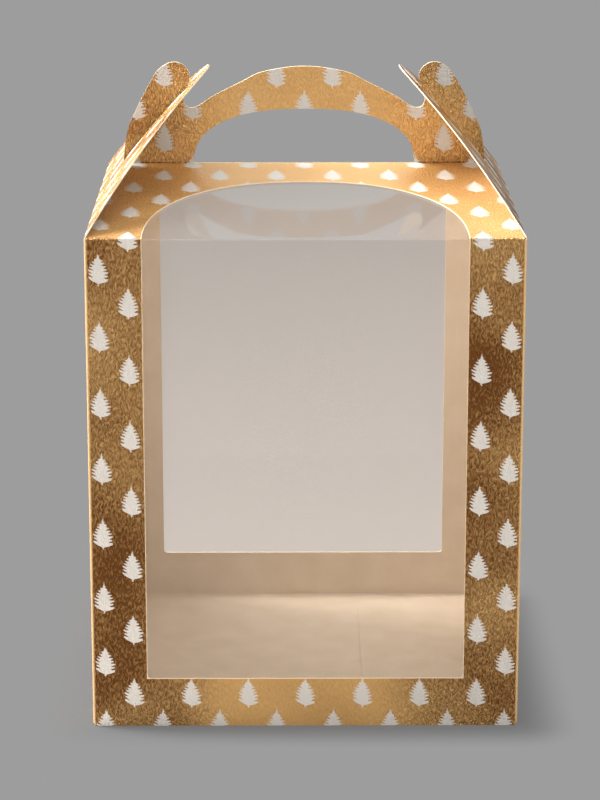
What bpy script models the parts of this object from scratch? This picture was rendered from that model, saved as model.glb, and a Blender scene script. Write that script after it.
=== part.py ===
"""Gable carry box for a cake: creased foil board with film windows, front and back.

The box is one die-cut sheet, so every panel between two creases is its own object, placed on an
empty that lies on its crease. Metres, +Z up, front towards -Y, origin at the centre of the base.
"""

import math

import bmesh
import bpy

# Sheet materials
BOARD = 0.0005
FILM = 0.0002
GLUE_GAP = 0.0003

# Creases: a panel stops this far from the line it folds on
CREASE_GAP = 0.0006
CORNER_GAP = BOARD + GLUE_GAP

# Carton
BOX_WIDTH = 0.203
BOX_DEPTH = 0.193
WALL_HEIGHT = 0.238
RIDGE_RISE = 0.0177

# Window, cut across the shoulder crease, and the film glued behind it
WINDOW_SIDE = 0.0263
WINDOW_SILL = 0.0241
WINDOW_CORNER = 0.0015
ARCH_HEIGHT = 0.0724
ARCH_POWER = 2.25
FILM_MARGIN = 0.006

# Handle: strap over the hand hole, with an ear on each side
FOOT_WIDTH = 0.0343
HOLE_HEIGHT = 0.0266
HOLE_POWER = 2.4
STRAP_HEIGHT = 0.0473
EAR_HEIGHT = 0.0493

# Lock flaps on the side walls: they lean in from the crease, bowed by the ears, which stand
# through each flap's slot
FLAP_LEAN = math.radians(33.5)
FLAP_BOW_RADIUS = 0.368
FLAP_TIP_RADIUS = 0.02
FLAP_BRIDGE = 0.0028
FLAP_STRIP = 0.008
SLOT_CORNER = 0.001
SLOT_CLEARANCE = 0.0006
SLOT_SIDE_CLEARANCE = 0.0005

# The top opens as one: for each degree of roof, a lock flap swings this many degrees outwards
FLAP_RATIO = 3.5

# Glue seam at the back left corner
SEAM_WIDTH = 0.014
SEAM_END = 0.004

# Tuck-in base
TUCK_HEIGHT = 0.017
TUCK_LEAN = math.radians(6)
TUCK_CLEARANCE = 0.001
TUCK_SIDE = 0.0015
TUCK_CORNER = 0.012
DUST_LENGTH = 0.072
DUST_TAPER = 0.009
DUST_CORNER = 0.008

# Outlines as shares of the sizes that they follow. Strap: of the hole's half width and the strap's
# height. Ear: of the foot's width, inwards from the ridge's end, and of the ear's height.
STRAP_SHARES = ((0, 1), (0.15, 0.99), (0.4, 0.935), (0.56, 0.845), (0.81, 0.702), (0.94, 0.605))
EAR_SHARES = (
    (0.977, 0.55), (0.889, 0.572), (0.857, 0.65), (0.898, 0.74), (0.945, 0.828),
    (0.927, 0.918), (0.831, 0.984), (0.7, 1), (0.571, 0.962), (0.458, 0.88),
    (0.268, 0.648), (0.134, 0.455), (0.06, 0.325), (0.012, 0.13),
)
CURVE_STEPS = 4
ARC_STEPS = 8
ARCH_STEPS = 32
SWEEP_STEPS = 120
WELD = 0.00001

# The two plies of the handle stand back to back at the ridge
RIDGE_OFFSET = BOARD + GLUE_GAP / 2
ROOF_RUN = BOX_DEPTH / 2 - RIDGE_OFFSET
ROOF_LENGTH = math.hypot(ROOF_RUN, RIDGE_RISE)
ROOF_SLOPE = math.atan2(RIDGE_RISE, ROOF_RUN)
WINDOW_HALF = BOX_WIDTH / 2 - WINDOW_SIDE
FILM_DEPTH = BOARD + GLUE_GAP
BASE_RUN = BOX_DEPTH - BOARD - TUCK_CLEARANCE
DUST_TOP = BOARD + GLUE_GAP + BOARD
DUST_SIDE_GAP = 2 * BOARD + TUCK_CLEARANCE + TUCK_HEIGHT * math.sin(TUCK_LEAN) + 2 * GLUE_GAP


def roof_half(along):
    """Half the roof's width at a distance up its slope. Its side edge runs straight from the wall
    to where the bowed lock flap crosses the ridge, and stays just under the flap."""
    lean = math.asin(math.sin(FLAP_LEAN) + RIDGE_RISE / FLAP_BOW_RADIUS)
    inset = FLAP_BOW_RADIUS * (math.cos(FLAP_LEAN) - math.cos(lean))
    under_flap = (BOARD + GLUE_GAP) / math.cos(FLAP_LEAN)
    return BOX_WIDTH / 2 - inset * along / ROOF_LENGTH - under_flap


RIDGE_HALF = roof_half(ROOF_LENGTH)
HOLE_HALF = RIDGE_HALF - FOOT_WIDTH


def arc(centre, radius, start, end, steps=ARC_STEPS):
    """Points on a circle from one angle to another, in degrees."""
    angles = [math.radians(start + (end - start) * i / steps) for i in range(steps + 1)]
    return [(centre[0] + radius * math.cos(a), centre[1] + radius * math.sin(a)) for a in angles]


def arch(half_width, height, power, foot):
    """A superellipse from its right foot over its crown to its left foot, never below foot."""
    points = []
    for i in range(ARCH_STEPS + 1):
        angle = math.pi * i / ARCH_STEPS
        c, s = math.cos(angle), max(math.sin(angle), 0.0)
        across = math.copysign(abs(c) ** (2 / power), c)
        points.append((half_width * across, max(height * s ** (2 / power), foot)))
    return points


def smooth(points):
    """A Catmull-Rom curve through the points, from the first to the last."""
    ends = [points[0], *points, points[-1]]
    curve = []
    for p0, p1, p2, p3 in zip(ends, ends[1:], ends[2:], ends[3:]):
        for i in range(CURVE_STEPS):
            t = i / CURVE_STEPS
            curve.append(tuple(
                b + t * ((c - a) + t * ((2 * a - 5 * b + 4 * c - d) + t * (3 * b - a - 3 * c + d))) / 2
                for a, b, c, d in zip(p0, p1, p2, p3)
            ))
    return [*curve, points[-1]]


def mirrored(half):
    """A right half, listed top to bottom, with its left half listed bottom to top before it."""
    return [(-x, y) for x, y in reversed(half)] + [(x, y) for x, y in half if x > 0]


def rectangle(half_width, low, high):
    return [(-half_width, low), (half_width, low), (half_width, high), (-half_width, high)]


def rounded_tab(root_half, end_half, low, high, corner):
    """A tab that stands on its crease, with its two free corners rounded."""
    right = [(root_half, low), *arc((end_half - corner, high - corner), corner, 0, 90)]
    return right + [(-x, y) for x, y in reversed(right)]


def handle_ring():
    """Half the handle's outer edge, from the middle of the strap, round the ear, to the ridge."""
    strap = [(x * HOLE_HALF, y * STRAP_HEIGHT) for x, y in STRAP_SHARES]
    ear = [(RIDGE_HALF - x * FOOT_WIDTH, y * EAR_HEIGHT) for x, y in EAR_SHARES]
    return [*smooth(strap + ear), (RIDGE_HALF, CREASE_GAP)]


def slot_sweep():
    """What an ear sweeps in its lock flap as the top opens: the nearest and furthest crossing from
    the flap's crease, and how far the printed face of the handle stands from the middle plane."""
    ring = [point for point in handle_ring() if point[0] > HOLE_HALF]
    near, far, out = math.inf, 0.0, RIDGE_OFFSET
    for i in range(SWEEP_STEPS):
        roof = FLAP_LEAN / FLAP_RATIO * i / SWEEP_STEPS
        lift = ROOF_LENGTH * math.sin(ROOF_SLOPE + roof)
        face = BOX_DEPTH / 2 - ROOF_LENGTH * math.cos(ROOF_SLOPE + roof)
        spots = [(BOX_WIDTH / 2 - x, lift + y) for x, y in ring]
        reaches = [math.hypot(*spot) for spot in spots]
        leans = [
            FLAP_LEAN + math.asin(reach / (2 * FLAP_BOW_RADIUS)) - FLAP_RATIO * roof for reach in reaches
        ]
        sides = [math.atan2(*spot) - lean for spot, lean in zip(spots, leans)]
        for r0, r1, s0, s1 in zip(reaches, reaches[1:], sides, sides[1:]):
            if s0 * s1 < 0:
                crossing = r0 + (r1 - r0) * s0 / (s0 - s1)
                near, far, out = min(near, crossing), max(far, crossing), max(out, face)
    along = [2 * FLAP_BOW_RADIUS * math.asin(reach / (2 * FLAP_BOW_RADIUS)) for reach in (near, far)]
    return (*along, out)


SLOT_NEAR, SLOT_FAR, SLOT_OUT = slot_sweep()
SLOT_START = SLOT_NEAR - SLOT_CLEARANCE
SLOT_END = SLOT_FAR + SLOT_CLEARANCE
SLOT_HALF = SLOT_OUT + SLOT_SIDE_CLEARANCE
FLAP_LENGTH = SLOT_END + FLAP_BRIDGE


def new_collection(name):
    collection = bpy.data.collections.new(name)
    bpy.context.scene.collection.children.link(collection)
    return collection


def new_material(name, color, metallic, roughness, alpha=1.0):
    material = bpy.data.materials.new(name)
    material.use_nodes = True
    shader = material.node_tree.nodes["Principled BSDF"]
    shader.inputs["Base Color"].default_value = (*color, 1.0)
    shader.inputs["Metallic"].default_value = metallic
    shader.inputs["Roughness"].default_value = roughness
    shader.inputs["Alpha"].default_value = alpha
    material.diffuse_color = (*color, alpha)
    return material


def foil_board(name):
    return new_material(name, (0.55, 0.33, 0.13), 0.75, 0.38)


def plain_board(name):
    return new_material(name, (0.58, 0.42, 0.28), 0.0, 0.75)


def clear_film(name):
    return new_material(name, (0.9, 0.9, 0.9), 0.0, 0.08, 0.25)


def crease(collection, name, parent=None, place=(0, 0, 0), turn=(0, 0, 0)):
    """An empty on a crease: X along it, Y from it into the panel, Z out of the printed face."""
    empty = bpy.data.objects.new(name, None)
    collection.objects.link(empty)
    empty.parent = parent
    empty.location = place
    empty.rotation_euler = turn
    return empty


def panel(collection, name, frame, rings, finish=foil_board, thickness=BOARD, depth=0.0):
    """A sheet cut to its rings, the outer edge first, its outer face depth behind the frame's plane."""
    curve = bpy.data.curves.new(name, "CURVE")
    curve.dimensions = "2D"
    curve.fill_mode = "BOTH"
    curve.extrude = thickness / 2
    for ring in rings:
        spline = curve.splines.new("POLY")
        spline.points.add(len(ring) - 1)
        for point, (x, y) in zip(spline.points, ring):
            point.co = (x, y, 0, 1)
        spline.use_cyclic_u = True
    curve.materials.append(finish(name))
    sheet = bpy.data.objects.new(name, curve)
    collection.objects.link(sheet)
    sheet.parent = frame
    sheet.location = (0, 0, -depth - thickness / 2)
    return sheet


def window_wall_ring(foot):
    """A front or back wall round its window, which runs out through the shoulder crease."""
    half = BOX_WIDTH / 2 - CORNER_GAP
    top = WALL_HEIGHT - CREASE_GAP
    inner = WINDOW_HALF - WINDOW_CORNER
    sill = WINDOW_SILL + WINDOW_CORNER
    right = [*arc((inner, sill), WINDOW_CORNER, -90, 0), (WINDOW_HALF, top), (half, top), (half, foot)]
    return right + [(-x, y) for x, y in reversed(right)]


def side_wall_ring():
    half = BOX_DEPTH / 2 - CORNER_GAP
    return rectangle(half, CORNER_GAP, WALL_HEIGHT - CREASE_GAP)


def roof_ring():
    """A roof panel, with the window's arch cut in from the shoulder crease."""
    foot, ridge = CREASE_GAP, ROOF_LENGTH - CREASE_GAP
    cut = arch(WINDOW_HALF, ARCH_HEIGHT, ARCH_POWER, foot)
    return [
        *cut, (-roof_half(foot), foot), (-roof_half(ridge), ridge),
        (roof_half(ridge), ridge), (roof_half(foot), foot),
    ]


def handle_panel_ring():
    """The strap and its ears, cut out from the ridge crease by the hand hole."""
    outer = mirrored(handle_ring())
    hole = arch(HOLE_HALF, HOLE_HEIGHT, HOLE_POWER, CREASE_GAP)
    return outer + hole


def lock_flap_rings():
    """A lock flap: straight sides drawn in to a round tip, with the slot for the ears."""
    root = BOX_DEPTH / 2 - CORNER_GAP
    rise = FLAP_LENGTH - FLAP_TIP_RADIUS
    reach = math.hypot(root, rise)
    tangent = math.degrees(math.acos(FLAP_TIP_RADIUS / reach) - math.atan2(rise, root))
    outer = [(-root, CREASE_GAP), (root, CREASE_GAP)]
    outer += arc((0, rise), FLAP_TIP_RADIUS, tangent, 180 - tangent, 3 * ARC_STEPS)
    x, low, high = SLOT_HALF - SLOT_CORNER, SLOT_START + SLOT_CORNER, SLOT_END - SLOT_CORNER
    slot = []
    for turn, centre in enumerate(((x, high), (-x, high), (-x, low), (x, low))):
        slot += arc(centre, SLOT_CORNER, 90 * turn, 90 * turn + 90, 3)
    return outer, slot


def glue_seam_ring():
    """The seam flap, glued inside the back wall, its two ends cut back at a slant."""
    fold = BOX_WIDTH / 2 - BOARD - GLUE_GAP
    free = fold - SEAM_WIDTH
    low, high = DUST_TOP + SEAM_END, WALL_HEIGHT - SEAM_END
    return [(fold, low), (fold, high), (free, high - SEAM_WIDTH / 2), (free, low + SEAM_WIDTH / 2)]


def build_walls(parts):
    """Four walls round the box, the seam flap and the two wall films. Returns each wall's frame."""
    frames = {}
    turns = (("front", BOX_DEPTH), ("right", BOX_WIDTH), ("back", BOX_DEPTH), ("left", BOX_WIDTH))
    for quarter, (side, across) in enumerate(turns):
        angle = quarter * math.pi / 2
        place = (across / 2 * math.sin(angle), -across / 2 * math.cos(angle), 0)
        frames[side] = crease(parts, side + "_base_crease", None, place, (math.pi / 2, 0, angle))
    panel(parts, "front_panel", frames["front"], [window_wall_ring(0)])
    panel(parts, "back_panel", frames["back"], [window_wall_ring(CORNER_GAP)])
    panel(parts, "left_side_panel", frames["left"], [side_wall_ring()])
    panel(parts, "right_side_panel", frames["right"], [side_wall_ring()])
    panel(parts, "glue_seam_flap", frames["back"], [glue_seam_ring()], plain_board, depth=FILM_DEPTH)
    film_half = WINDOW_HALF + FILM_MARGIN
    film_top = WALL_HEIGHT - FILM_DEPTH - FILM - GLUE_GAP
    film = rectangle(film_half, WINDOW_SILL - FILM_MARGIN, film_top)
    for side in ("front", "back"):
        panel(parts, side + "_window_film", frames[side], [film], clear_film, FILM, FILM_DEPTH)
    return frames


def build_roofs(parts, frames):
    """Both roof panels with their films, and the two plies of the handle on the ridge."""
    lean_in = ROOF_SLOPE - math.pi / 2
    film_low = FILM_DEPTH + FILM + GLUE_GAP
    film = rectangle(WINDOW_HALF + FILM_MARGIN, film_low, ARCH_HEIGHT + FILM_MARGIN)
    for side in ("front", "back"):
        shoulder = crease(parts, side + "_shoulder_crease", frames[side], (0, WALL_HEIGHT, 0), (lean_in, 0, 0))
        panel(parts, side + "_roof_panel", shoulder, [roof_ring()])
        panel(parts, side + "_roof_window_film", shoulder, [film], clear_film, FILM, FILM_DEPTH)
        ridge = crease(parts, side + "_ridge_crease", shoulder, (0, ROOF_LENGTH, 0), (-lean_in, 0, 0))
        panel(parts, side + "_handle_panel", ridge, [handle_panel_ring()])


def bow(parts, sheet, radius, strip):
    """Makes a flat sheet a mesh, scores it into strips across Y, and bows it inwards to radius."""
    name = sheet.name
    bpy.context.view_layer.update()
    flat = bpy.data.meshes.new_from_object(sheet.evaluated_get(bpy.context.evaluated_depsgraph_get()))
    work = bmesh.new()
    work.from_mesh(flat)
    bmesh.ops.remove_doubles(work, verts=work.verts, dist=WELD)
    reach = max(vert.co.y for vert in work.verts)
    for i in range(1, math.ceil(reach / strip)):
        everything = [*work.verts, *work.edges, *work.faces]
        line = (0, i * strip, 0)
        bmesh.ops.bisect_plane(work, geom=everything, dist=WELD, plane_co=line, plane_no=(0, 1, 0))
    bmesh.ops.triangulate(work, faces=work.faces)
    for vert in work.verts:
        turn = vert.co.y / radius
        from_centre = radius + vert.co.z + sheet.location.z
        vert.co.y = from_centre * math.sin(turn)
        vert.co.z = from_centre * math.cos(turn) - radius
    work.to_mesh(flat)
    work.free()
    frame = sheet.parent
    bpy.data.objects.remove(sheet, do_unlink=True)
    flat.name = name
    bowed = bpy.data.objects.new(name, flat)
    parts.objects.link(bowed)
    bowed.parent = frame


def build_lock_flaps(parts, frames):
    for side in ("left", "right"):
        shoulder = crease(
            parts, side + "_shoulder_crease", frames[side], (0, WALL_HEIGHT, 0), (-FLAP_LEAN, 0, 0)
        )
        flap = panel(parts, side + "_lock_flap", shoulder, lock_flap_rings())
        bow(parts, flap, FLAP_BOW_RADIUS, FLAP_STRIP)


def build_base(parts, frames):
    """The base hangs on the back wall and tucks in behind the front wall, over two dust flaps."""
    fold_under = (-math.pi / 2, 0, math.pi)
    base = crease(parts, "base_crease", frames["back"], (0, 0, 0), fold_under)
    base_half = BOX_WIDTH / 2 - GLUE_GAP
    panel(parts, "bottom_panel", base, [rectangle(base_half, CORNER_GAP, BASE_RUN - CORNER_GAP)])
    tuck = crease(parts, "tuck_crease", base, (0, BASE_RUN, 0), (-math.pi / 2 - TUCK_LEAN, 0, 0))
    tuck_half = BOX_WIDTH / 2 - BOARD - TUCK_SIDE
    ring = rounded_tab(tuck_half, tuck_half, CORNER_GAP, TUCK_HEIGHT, TUCK_CORNER)
    panel(parts, "bottom_tuck_flap", tuck, [ring])
    dust_half = BOX_DEPTH / 2 - DUST_SIDE_GAP
    ring = rounded_tab(dust_half, dust_half - DUST_TAPER, GLUE_GAP, DUST_LENGTH, DUST_CORNER)
    for side in ("left", "right"):
        hinge = crease(parts, side + "_dust_crease", frames[side], (0, DUST_TOP, -BOARD), fold_under)
        panel(parts, side + "_dust_flap", hinge, [ring], depth=-BOARD)


def main():
    for old in list(bpy.data.objects):
        bpy.data.objects.remove(old, do_unlink=True)
    parts = new_collection("cake_box")
    frames = build_walls(parts)
    build_roofs(parts, frames)
    build_lock_flaps(parts, frames)
    build_base(parts, frames)


main()
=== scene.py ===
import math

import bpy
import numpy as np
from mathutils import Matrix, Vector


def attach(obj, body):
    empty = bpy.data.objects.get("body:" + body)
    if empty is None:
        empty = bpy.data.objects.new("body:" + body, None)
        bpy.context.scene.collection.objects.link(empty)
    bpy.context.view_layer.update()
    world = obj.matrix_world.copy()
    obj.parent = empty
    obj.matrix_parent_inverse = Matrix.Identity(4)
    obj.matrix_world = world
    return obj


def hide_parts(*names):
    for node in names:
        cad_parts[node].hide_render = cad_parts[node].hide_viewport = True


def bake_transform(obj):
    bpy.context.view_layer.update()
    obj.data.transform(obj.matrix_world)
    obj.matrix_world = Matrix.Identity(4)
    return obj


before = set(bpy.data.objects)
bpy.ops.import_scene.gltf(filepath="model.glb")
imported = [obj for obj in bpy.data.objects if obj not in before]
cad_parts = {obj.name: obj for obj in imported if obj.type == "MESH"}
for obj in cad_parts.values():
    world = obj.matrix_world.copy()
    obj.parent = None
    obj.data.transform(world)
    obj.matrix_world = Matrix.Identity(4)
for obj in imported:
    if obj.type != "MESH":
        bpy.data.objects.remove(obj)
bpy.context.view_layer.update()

# Gable cake box of gold foil board with arched film windows, dressed over its imported frame.
# The box is one die-cut sheet. Each panel is drawn on that flat sheet, in metres, printed side up,
# and then folded to its place, so that the print runs on over every crease. Each panel moves with
# its own body, and a narrow strip at each crease is drawn curved between the two panels that it
# joins, fixed where it is drawn.

# Sheet materials
BOARD = 0.0005
FILM = 0.0002
GLUE_GAP = 0.0003
CREASE_GAP = 0.0006
CORNER_GAP = BOARD + GLUE_GAP
WELD = 1e-7
SMOOTH_UNDER = math.radians(35)

# Carton
BOX_WIDTH = 0.203
BOX_DEPTH = 0.193
WALL_HEIGHT = 0.238
RIDGE_RISE = 0.0177
RIDGE_OFFSET = BOARD + GLUE_GAP / 2
ROOF_RUN = BOX_DEPTH / 2 - RIDGE_OFFSET
ROOF_LENGTH = math.hypot(ROOF_RUN, RIDGE_RISE)
ROOF_SLOPE = math.atan2(RIDGE_RISE, ROOF_RUN)
ROOF_FOOT_HALF = 0.10046
RIDGE_HALF = 0.08806

# Window and its film
WINDOW_HALF = 0.0752
WINDOW_SILL = 0.0241
WINDOW_CORNER = 0.0015
ARCH_HEIGHT = 0.0724
ARCH_POWER = 2.25
FILM_MARGIN = 0.006
FILM_BEND = 0.0012
FILM_DEPTH = BOARD + GLUE_GAP

# Handle: outlines as shares of the hole's half width and the strap's height, and, for the ears, of
# the foot's width inwards from the ridge's end and of the ear's height
FOOT_WIDTH = 0.0343
HOLE_HALF = RIDGE_HALF - FOOT_WIDTH
HOLE_HEIGHT = 0.0266
HOLE_POWER = 2.4
HOLE_SIDE = 25
STRAP_HEIGHT = 0.0473
EAR_HEIGHT = 0.0493
EAR_INNER_POINTS = 6
STRAP_SHARES = ((0, 1), (0.15, 0.99), (0.4, 0.935), (0.56, 0.845), (0.81, 0.702), (0.94, 0.605))
EAR_SHARES = (
    (0.977, 0.55), (0.889, 0.572), (0.857, 0.65), (0.898, 0.74), (0.945, 0.828),
    (0.927, 0.918), (0.831, 0.984), (0.7, 1), (0.571, 0.962), (0.458, 0.88),
    (0.268, 0.648), (0.134, 0.455), (0.06, 0.325), (0.012, 0.13),
)

# Lock flaps, bowed inwards by the ears in their slots
FLAP_LEAN = math.radians(33.5)
FLAP_BOW_RADIUS = 0.368
FLAP_TIP_RADIUS = 0.02
FLAP_LENGTH = 0.08599
SLOT_START = 0.02288
SLOT_END = 0.08319
SLOT_HALF = 0.00296
SLOT_CORNER = 0.001

# Glue seam and base
SEAM_WIDTH = 0.014
SEAM_END = 0.004
SEAM_FOOT = 0.0053
TUCK_HEIGHT = 0.017
TUCK_LEAN = math.radians(6)
TUCK_CLEARANCE = 0.001
TUCK_SIDE = 0.0015
TUCK_CORNER = 0.012
DUST_LENGTH = 0.072
DUST_TAPER = 0.009
DUST_CORNER = 0.008
BASE_RUN = BOX_DEPTH - BOARD - TUCK_CLEARANCE
DUST_LEVEL = BOARD + GLUE_GAP
EDGE_INSET = 0.0001
DUST_SIDE_GAP = 2 * BOARD + TUCK_CLEARANCE + TUCK_HEIGHT * math.sin(TUCK_LEAN) + 2 * GLUE_GAP

# Print: staggered fir trees, in millimetres on the flat sheet. u runs round the box from the middle
# of the front, and v up from the shoulder crease. The handle starts at its own height in it. Boughs
# rise by BOUGH_RISE outwards and by TREE_STAGGER from left to right, and a noise of about 0.6 mm
# makes them ragged.
MM = 1000
HALF_ROUND = (BOX_WIDTH + BOX_DEPTH) * MM
WINDOW_FOOT = (WINDOW_SILL - WALL_HEIGHT) * MM
HANDLE_FOOT = 0.1003 * MM
TREE_COLUMN = 27.2
TREE_ROW = 15.9
TREE_ROW_MIDDLE = 1.65
TREE_HEIGHT = 14.4
TREE_HALF_WIDTH = 6.0
TREE_EDGE = 0.2
TREE_STAGGER = 0.15
BOUGH_RISE = 0.3
RAGGED_SCALE = 1.6
RAGGED = 1.1
# Half the fir's width against its height: a stub of trunk, then seven tiers of boughs with thin
# slits between them, up to the leader
FIR_OUTLINE = (
    (0.0, 0.4), (0.3, 0.5), (0.35, 1.9), (0.5, 3.1), (0.8, 4.0), (1.2, 4.6), (1.8, 4.5), (2.1, 2.9),
    (2.5, 2.5), (2.9, 4.2), (3.4, 4.5), (3.7, 3.2), (4.1, 2.9), (4.5, 4.7), (5.1, 4.6), (5.4, 2.7),
    (5.8, 2.2), (6.1, 3.9), (6.6, 4.0), (6.9, 2.7), (7.3, 2.4), (7.6, 3.5), (8.1, 3.4), (8.4, 1.8),
    (8.8, 1.4), (9.2, 2.8), (9.7, 2.6), (10.0, 1.6), (10.4, 1.4), (10.8, 1.9), (11.3, 1.5),
    (11.7, 0.8), (12.6, 0.5), (14.4, 0.0),
)

# Foil. A row of four is a fade: two distances, in millimetres on the flat sheet, or two levels of
# noise, and the value at each. Scales count noise cells in a millimetre: bends are 3 mm apart, the
# board's waves 36 mm and the spots of painted reflection 56 mm, and a wrinkle's cell is 0.8 by
# 2.2 mm, with finer ones of a third of that in it. The bare line round the window is a share of the
# arch's size wide, and so many millimetres at the sill.
GRAIN_FROM_MIDDLE = (30.0, 68.0, 0.22, 1.0)
GRAIN_FROM_CORNER = (0.8, 1.5, 0.2, 1.0)
SMOOTHER_ON_ROOF = (0.0, 2.0, 0.0, 0.6)
ROOF_GRAIN_ENDS = (96.0, 102.0)
ROOF_PRINT_HALF = 101.0
INK_FILLS = 0.6
GRAIN_BEND_SCALE = 0.3
GRAIN_BEND = (2.6, 2.5, 0.0)
GRAIN_STRETCH = (1.3, 0.46, 1.0)
GRAIN_RIDGES = (0.3, 0.66, -0.85, 0.75)
FINE_SCALE = 3.0
FINE_SHARE = 0.4
WAVE_SCALE = 0.028
WAVE_SHARE = 6.0
GRAIN_HEIGHT = 0.00028
# Painted reflection: the gold is lighter and darker in broad spots, as a wavy foil mirrors its
# surroundings
REFLECTION_PATCHES_FROM = (2790.0, -5520.0, 0.0)
REFLECTION_PATCH_SCALE = 0.018
REFLECTION_PATCH_TONE = 1.05
# Painted shade in the grain's grooves, with lighter ridges
GROOVE_SHADE = 0.3
PLAIN_TONE = 0.88
# Painted shade that grows with the grain's depth, weaker from 101 to 104 mm up, onto the handle
DEEP_GRAIN_SHADE = (101.0, 104.0, -0.52, -0.34)
# Painted shade: a dark line in the crease along the handle's foot
CREASE_SHADE = (0.35, 0.6, -0.4, 0.0)
GOLD_DARK = "#7D4A16"
GOLD_LIGHT = "#E8B874"
FIR_INK = "#CCC7BF"
# Cream of the bare pulp, also the colour of the painted highlight on the corners
PULP_AND_HIGHLIGHT_CREAM = "#EED4AE"
BARE_RIM = 0.011
BARE_SILL = 0.36
BARE_FULL = 0.6
# Painted highlight: pale cream along the folds at the box's corners
CORNER_HIGHLIGHT = (0.6, 1.2, 0.35, 0.0)
METAL = 0.4
METAL_OF_GRAIN = 0.3
INK_DULLS = 0.7
FOIL_ROUGHNESS = 0.3
ROUGHER_GRAIN = 0.1
ROUGHER_INK = 0.18

# Board's back and edge: noise cells in a metre, for mottling 17 mm across, and for fibres of 0.6 mm
# and pulp of 1.1 mm, which are drawn coarser than real ones, to show
MOTTLE_SCALE = 60.0
FIBRE_SCALE = 1600.0
FIBRE_SHARE = 0.4
FIBRE_HEIGHT = 0.00005
PULP_SCALE = 900.0

# Film, with ripples about 110 mm apart
RIPPLE_SCALE = 9.0
RIPPLE_HEIGHT = 0.0008
FILM_IOR = 1.5
FILM_HAZE = 0.07
FILM_GLOW = 0.6
FILM_ROUGHNESS = 0.07

# Stage
CAMERA_PLACE = (-0.00919, -1.37196, 0.50545)
CAMERA_LENS = 128.0
CAMERA_PITCH = 0.2634
CAMERA_YAW = 0.0052
LAMP_AIM = (0.0, 0.0, 0.15)
BACKGROUND = "#9D9D9D"
FLOOR_LIT = "#5E5E5E"
FLOOR_LIT_SHARE = 0.62
FLOOR_LIT_REACH = 0.032
FLOOR_HALF = 2.5
FILL = "#BABABA"
PALE_START = 0.1
PALE_END = 1.4
PALE_NEAR = "#DAD3CE"
PALE_FAR = "#9C9A99"


# Finishes

def hex_colour(code):
    """An sRGB hex colour as linear red, green, blue and 1."""
    shares = np.array([int(code[i:i + 2], 16) for i in (1, 3, 5)]) / 255
    linear = np.where(shares <= 0.04045, shares / 12.92, ((shares + 0.055) / 1.055) ** 2.4)
    return (*linear.tolist(), 1.0)


def add(tree, kind, *inputs, named=(), **settings):
    """Adds a node with its settings. Inputs come in their order, or by name. Each is a value, the
    socket that feeds it, or the node whose first output does."""
    made = tree.nodes.new("ShaderNode" + kind)
    for setting, value in settings.items():
        setattr(made, setting, value)
    for key, value in (*enumerate(inputs), *dict(named).items()):
        if isinstance(value, bpy.types.Node):
            value = value.outputs[0]
        if isinstance(value, bpy.types.NodeSocket):
            tree.links.new(value, made.inputs[key])
        else:
            made.inputs[key].default_value = value
    return made


def new_finish(name):
    finish = bpy.data.materials.new(name)
    finish.use_nodes = True
    finish.node_tree.nodes.clear()
    return finish, finish.node_tree


def two_tone(ramp, low, dark, high, light):
    """Sets a colour ramp to run from a dark to a light colour between two positions."""
    for stop, position, code in zip(ramp.color_ramp.elements, (low, high), (dark, light)):
        stop.position, stop.color = position, hex_colour(code)


def fir_mask(tree, u, v):
    """1 inside a printed fir: rows a set step apart, every other one moved by half a column. In its
    own cell a point is inside if its distance from the trunk's line is under half the fir's width,
    and the boughs rise outwards, those on the right a little higher than those on the left."""
    step = add(tree, "Math", v, TREE_ROW_MIDDLE, operation="SUBTRACT")
    step = add(tree, "Math", step, TREE_ROW, operation="DIVIDE")
    row = add(tree, "Math", step, operation="ROUND")
    up = add(tree, "Math", step, row, operation="SUBTRACT")
    up = add(tree, "Math", up, TREE_ROW, TREE_HEIGHT / 2, operation="MULTIPLY_ADD")
    odd = add(tree, "Math", row, 2.0, operation="FLOORED_MODULO")
    along = add(tree, "Math", u, TREE_COLUMN, operation="DIVIDE")
    along = add(tree, "Math", odd, -0.5, along, operation="MULTIPLY_ADD")
    column = add(tree, "Math", along, operation="ROUND")
    side = add(tree, "Math", along, column, operation="SUBTRACT")
    side = add(tree, "Math", side, TREE_COLUMN, operation="MULTIPLY")
    lift = add(tree, "Math", side, TREE_STAGGER, up, operation="MULTIPLY_ADD")
    side = add(tree, "Math", side, operation="ABSOLUTE")
    height = add(tree, "Math", side, -BOUGH_RISE, lift, operation="MULTIPLY_ADD")
    height = add(tree, "Math", height, TREE_HEIGHT, operation="DIVIDE")
    outline = add(tree, "FloatCurve", named={"Value": height})
    curve = outline.mapping.curves[0]
    shares = [(at / TREE_HEIGHT, half / TREE_HALF_WIDTH) for at, half in FIR_OUTLINE]
    for share in shares[1:-1]:
        curve.points.new(*share)
    for point, share in zip(curve.points, shares):
        point.location, point.handle_type = share, "VECTOR"
    outline.mapping.update()
    ragged = add(tree, "TexNoise", noise_dimensions="2D", named={
        "Vector": add(tree, "CombineXYZ", u, v), "Scale": RAGGED_SCALE, "Detail": 1.0,
    })
    side = add(tree, "Math", side, -1.0, RAGGED / 2, operation="MULTIPLY_ADD")
    side = add(tree, "Math", ragged, -RAGGED, side, operation="MULTIPLY_ADD")
    inside = add(tree, "Math", outline, TREE_HALF_WIDTH, side, operation="MULTIPLY_ADD")
    return add(tree, "MapRange", inside, -TREE_EDGE, TREE_EDGE, interpolation_type="SMOOTHSTEP")


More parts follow.
